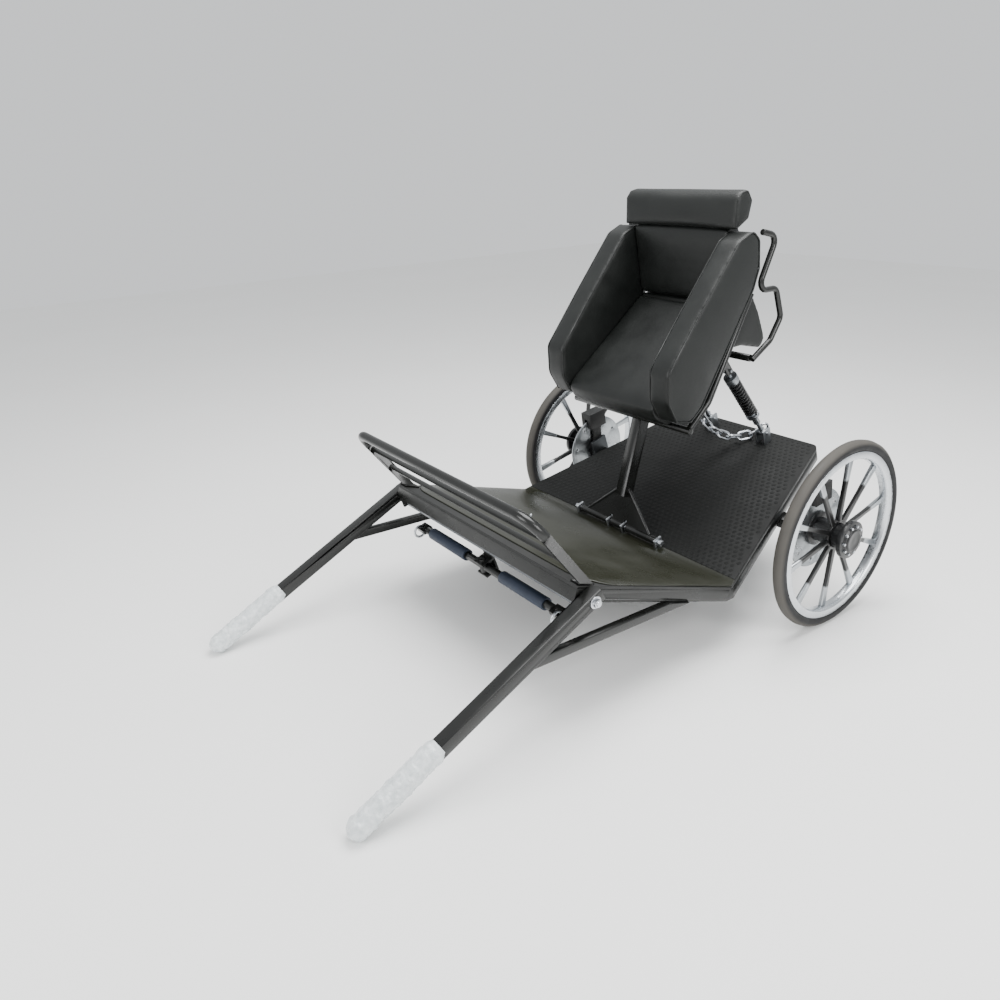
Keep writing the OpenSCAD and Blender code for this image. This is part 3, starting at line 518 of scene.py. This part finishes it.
# %% Welts along the seams
def side_outlines(node):
    """The closed outlines of a CAD solid's two flat X sides, low side first."""
    work = bmesh.new()
    work.from_mesh(frame["nodes"][node].data)
    bmesh.ops.remove_doubles(work, verts=work.verts, dist=mm(0.05))
    low = min(v.co.x for v in work.verts)
    high = max(v.co.x for v in work.verts)
    outlines = []
    for at_x in (low, high):
        rim = [
            e for e in work.edges
            if all(abs(v.co.x - at_x) < mm(0.2) for v in e.verts)
            and any(abs(f.normal.x) < 0.5 for f in e.link_faces)
        ]
        neighbours = {}
        for edge in rim:
            a, b = edge.verts
            neighbours.setdefault(a, []).append(b)
            neighbours.setdefault(b, []).append(a)
        first = min(neighbours, key=lambda v: (round(v.co.z, 5), round(v.co.y, 5)))
        loop, last = [first], None
        while True:
            ahead = [v for v in neighbours[loop[-1]] if v is not last]
            last = loop[-1]
            if not ahead or ahead[0] is first or len(loop) > len(neighbours):
                break
            loop.append(ahead[0])
        outlines.append([v.co.copy() for v in loop])
    work.free()
    return outlines


def round_cord(name, runs, radius_mm, material, closed=True):
    """Round cords along lists of points, as one curve."""
    data = bpy.data.curves.new(name, "CURVE")
    data.dimensions = "3D"
    data.bevel_depth = mm(radius_mm)
    data.bevel_resolution = 3
    for points in runs:
        spline = data.splines.new("POLY")
        spline.points.add(len(points) - 1)
        for slot, point in zip(spline.points, points):
            slot.co = (*point, 1)
        spline.use_cyclic_u = closed
        spline.use_smooth = True
    data.materials.append(material)
    return new_object(name, data)


def drawn_in(points, inset_mm, aside_mm):
    """An outline moved towards its own middle, and sideways along X."""
    middle = sum(points, Vector()) / len(points)
    moved = []
    for i, point in enumerate(points):
        along = (points[(i + 1) % len(points)] - points[i - 1]).normalized()
        inward = along.cross(Vector((1, 0, 0)))
        if inward.dot(middle - point) < 0:
            inward.negate()
        moved.append(point + inward * mm(inset_mm) + Vector((mm(aside_mm), 0, 0)))
    return moved


def welt(node, radius_mm=2.4, inset_mm=6, nest_mm=4.5):
    """A sewn welt round both side edges of a padded piece."""
    low, high = side_outlines(node)
    runs = [drawn_in(low, inset_mm, nest_mm), drawn_in(high, inset_mm, -nest_mm)]
    cord = round_cord("welt_" + node, runs, radius_mm, seat_vinyl)
    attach(cord, "chassis")
    print(cord.name, [len(run) for run in runs], "points")


for node in ("left_bolster", "right_bolster", "headrest"):
    welt(node)

# %% [markdown]
# The mat's coins are real bumps, about 14 mm across and 1 mm high, set in
# staggered rows. They are one mesh, made row by row inside the deck's outline.

# %% Coins on the rear mat
COIN_PITCH, COIN_RADIUS, COIN_HEIGHT, COIN_SIDES = 21, 7, 1.1, 10
MAT_FRONT, MAT_REAR = -352, 308
REAR_HALF, BEND_HALF, DECK_REAR, DECK_BEND = 297, 493, 320, -385
MAT_MARGIN, ROW_SHARE, COIN_TOP_SHARE = 16, 0.87, 0.8


def deck_half(y):
    """Half the deck's width at a place along it, in millimetres."""
    return REAR_HALF + (DECK_REAR - y) / (DECK_REAR - DECK_BEND) * (BEND_HALF - REAR_HALF)


def coin(corners, faces, x, y):
    """One round stud with a bevelled rim."""
    base = len(corners)
    for radius, height in ((COIN_RADIUS, 0), (COIN_RADIUS * COIN_TOP_SHARE, COIN_HEIGHT)):
        for k in range(COIN_SIDES):
            angle = math.tau * k / COIN_SIDES
            spot = (x + radius * math.cos(angle), y + radius * math.sin(angle), height)
            corners.append(deck @ Vector(spot))
    for k in range(COIN_SIDES):
        m = (k + 1) % COIN_SIDES
        faces.append((base + k, base + m, base + COIN_SIDES + m, base + COIN_SIDES + k))
    faces.append(tuple(base + COIN_SIDES + k for k in range(COIN_SIDES)))


corners, faces = [], []
row = 0
y = MAT_FRONT
while y < MAT_REAR:
    reach = deck_half(y) - MAT_MARGIN
    count = int(reach // COIN_PITCH)
    shift = COIN_PITCH / 2 if row % 2 else 0
    for i in range(-count, count + 1):
        if abs(i * COIN_PITCH + shift) < reach:
            coin(corners, faces, i * COIN_PITCH + shift, y)
    y += COIN_PITCH * ROW_SHARE
    row += 1
coin_mesh = bpy.data.meshes.new("mat_coins")
coin_mesh.from_pydata(corners, [], faces)
coin_mesh.materials.append(mat_rubber)
coins = new_object("mat_coins", coin_mesh)
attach(coins, "chassis")
print("coins", len(faces) // (COIN_SIDES + 1))

# %% [markdown]
# A coil spring is one wire wound in a helix. The CAD has rings in its place.
# The two springs lean along their dampers, between the top eye and the foot.

# %% Springs on the dampers
SHOCK_X, SHOCK_TOP, SHOCK_FOOT = 118, (133, 362), (263, 40)
SPRING_START, SPRING_RUN, SPRING_TURNS = 60, 178, 12
SPRING_RADIUS, WIRE_RADIUS, STEPS = 19, 3.6, 20


def helix(x):
    """The points of one spring's wire."""
    top = Vector((x, *SHOCK_TOP))
    down = (Vector((x, *SHOCK_FOOT)) - top).normalized()
    across = down.cross(Vector((1, 0, 0)))
    points = []
    for k in range(SPRING_TURNS * STEPS + 1):
        angle = math.tau * k / STEPS
        share = k / (SPRING_TURNS * STEPS)
        along = SPRING_START + WIRE_RADIUS + (SPRING_RUN - 2 * WIRE_RADIUS) * share
        ring = Vector((1, 0, 0)) * math.cos(angle) + across * math.sin(angle)
        points.append(deck @ (top + down * along + ring * SPRING_RADIUS))
    return points


coils = [helix(SHOCK_X), helix(-SHOCK_X)]
springs = round_cord("damper_springs", coils, WIRE_RADIUS, coil_coat, closed=False)
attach(springs, "chassis")
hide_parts("shock_springs")
print("spring wire", 2 * WIRE_RADIUS, "mm,", SPRING_TURNS, "turns")

# %% [markdown]
# New carts come with their shaft ends wound in packing film. The film is a tube
# with a skin that buckles: overlapping turns step round it, and noise crumples
# it. Noise is the same every run, so the folds never move.

# %% Wrapped shaft ends
SHAFT_X, WRAP_RADIUS = 476, 31
WRAP_LENGTH, WRAP_LAP = 272, 4
TURN_MM, STEP_MM, CRUMPLE_MM = 34, 1.6, 3.2
AROUND, ALONG = 72, 110
NOSE_SHARE, TUBE_SHARE = 0.14, 0.86
TAPER_FROM, TAPER_RUN, TAPER = 0.93, 0.07, 0.22
FOLDS_PER_METRE, ROUGHNESS, SPREAD, OCTAVES = 55, 0.9, 2.1, 4
CRUMPLE_MIDDLE, CRUMPLE_TOP, SIDE_SHIFT = 0.35, 0.25, 7
NOSE_TIP, FOLD_FADE_MM = 0.02, 8


def wrap(side, sign):
    """Crumpled film over one shaft's end, in place of its smooth CAD solid."""
    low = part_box(side + "_tip_wrap")[0]
    nose = Vector((sign * mm(SHAFT_X), low.y + mm(WRAP_RADIUS), low.z + mm(WRAP_RADIUS)))
    shaft_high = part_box(side + "_shaft")[1]
    run = (Vector((nose.x, shaft_high.y, shaft_high.z)) - nose).normalized()
    length = mm(WRAP_LENGTH - WRAP_RADIUS + WRAP_LAP)
    across = Vector((1, 0, 0))
    up = run.cross(across)
    rows = []
    for j in range(ALONG + 1):
        t = j / ALONG
        if t < NOSE_SHARE:
            turn = math.pi / 2 * t / NOSE_SHARE
            along = -mm(WRAP_RADIUS) * math.cos(turn)
            base = mm(WRAP_RADIUS) * max(math.sin(turn), NOSE_TIP)
        else:
            along, base = length * (t - NOSE_SHARE) / TUBE_SHARE, mm(WRAP_RADIUS)
            base *= 1 - TAPER * max(0, (t - TAPER_FROM) / TAPER_RUN)
        ring = []
        for k in range(AROUND):
            angle = math.tau * k / AROUND
            out = across * math.cos(angle) + up * math.sin(angle)
            place = nose + run * along + out * base
            lap = ((along * 1000 + angle / math.tau * TURN_MM) % TURN_MM) / TURN_MM
            spot = place * FOLDS_PER_METRE + Vector((sign * SIDE_SHIFT, 0, 0))
            crumple = noise.fractal(spot, ROUGHNESS, SPREAD, OCTAVES) - CRUMPLE_MIDDLE
            depth = mm(STEP_MM) * lap - mm(STEP_MM) + mm(CRUMPLE_MM) * min(crumple, CRUMPLE_TOP)
            ring.append(place + out * depth * min(1, base / mm(FOLD_FADE_MM)))
        rows.append(ring)
    points = [p for ring in rows for p in ring]
    quads = []
    for j in range(ALONG):
        for k in range(AROUND):
            m = (k + 1) % AROUND
            quads.append((j * AROUND + k, j * AROUND + m, (j + 1) * AROUND + m, (j + 1) * AROUND + k))
    quads.append(tuple(range(AROUND - 1, -1, -1)))
    quads.append(tuple(ALONG * AROUND + k for k in range(AROUND)))
    lowest = min(p.z for p in points)
    points = [p - Vector((0, 0, min(0, lowest))) for p in points]
    mesh = bpy.data.meshes.new(side + "_wrapped_end")
    mesh.from_pydata(points, [], quads)
    mesh.polygons.foreach_set("use_smooth", [True] * len(mesh.polygons))
    mesh.materials.append(packing_film)
    film = new_object(side + "_wrapped_end", mesh)
    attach(film, "chassis")
    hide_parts(side + "_tip_wrap")
    print(film.name, round(length * 1000 + WRAP_RADIUS), "mm long, lowest", round(lowest * 1000, 2))


wrap("left", 1)
wrap("right", -1)

# %% [markdown]
# Each hub ends in a black cap held by a ring of small bright bolts. The cap is
# turned on a lathe, so it is one outline spun round the axle, and its middle is
# left plain.

# %% Hub caps and their bolts
HUB_FACE = 0.632
CAP_OUTLINE = ((-3, 36), (2, 35), (3.5, 33), (4, 29), (3, 27), (3, 10), (3.2, 0.4))
BOLT_RING, BOLT_RADIUS, BOLT_COUNT, HEAD_SIDES = 44, 4.6, 10, 6
HEAD_OUTLINE = ((-5, BOLT_RADIUS), (1.6, BOLT_RADIUS), (2.4, BOLT_RADIUS * 0.75))


def spun(outline, at_x, sign, around=48):
    """A mesh of an outline spun round the axle; each point is (out along the axle, radius) in mm."""
    points, quads = [], []
    for out, radius in outline:
        for k in range(around):
            angle = math.tau * k / around
            points.append((
                sign * (at_x + mm(out)),
                wheel_centre.y + mm(radius) * math.cos(angle),
                wheel_centre.z + mm(radius) * math.sin(angle),
            ))
    for j in range(len(outline) - 1):
        for k in range(around):
            m = (k + 1) % around
            quad = (j * around + k, j * around + m, (j + 1) * around + m, (j + 1) * around + k)
            quads.append(quad if sign > 0 else quad[::-1])
    last = tuple((len(outline) - 1) * around + k for k in range(around))
    quads.append(last if sign > 0 else last[::-1])
    return points, quads


def bolt_ring(sign):
    """Hexagon heads in a ring on the hub's outer face."""
    points, quads = [], []
    for i in range(BOLT_COUNT):
        angle = math.tau * i / BOLT_COUNT
        middle = (mm(BOLT_RING) * math.cos(angle), mm(BOLT_RING) * math.sin(angle))
        base = len(points)
        for out, radius in HEAD_OUTLINE:
            for k in range(HEAD_SIDES):
                turn = math.tau * k / HEAD_SIDES + angle
                points.append((
                    sign * (HUB_FACE + mm(out)),
                    wheel_centre.y + middle[0] + mm(radius) * math.cos(turn),
                    wheel_centre.z + middle[1] + mm(radius) * math.sin(turn),
                ))
        for j in (0, 1):
            lower = base + HEAD_SIDES * j
            upper = lower + HEAD_SIDES
            for k in range(HEAD_SIDES):
                m = (k + 1) % HEAD_SIDES
                quad = (lower + k, lower + m, upper + m, upper + k)
                quads.append(quad if sign > 0 else quad[::-1])
        top = tuple(base + 2 * HEAD_SIDES + k for k in range(HEAD_SIDES))
        quads.append(top if sign > 0 else top[::-1])
    return points, quads


def wheel_piece(name, made, material, body):
    """One mesh that turns with a wheel."""
    mesh = bpy.data.meshes.new(name)
    mesh.from_pydata(made[0], [], made[1])
    mesh.materials.append(material)
    piece = new_object(name, mesh)
    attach(piece, body)
    return piece


for side, sign in (("left", 1), ("right", -1)):
    wheel = side + "_wheel"
    outline = spun(CAP_OUTLINE, HUB_FACE, sign)
    cap = wheel_piece(side + "_hub_cap", outline, hub_coat, wheel)
    cap.data.polygons.foreach_set("use_smooth", [True] * len(cap.data.polygons))
    wheel_piece(side + "_hub_bolts", bolt_ring(sign), zinc, wheel)
print("bolts on each hub", BOLT_COUNT)
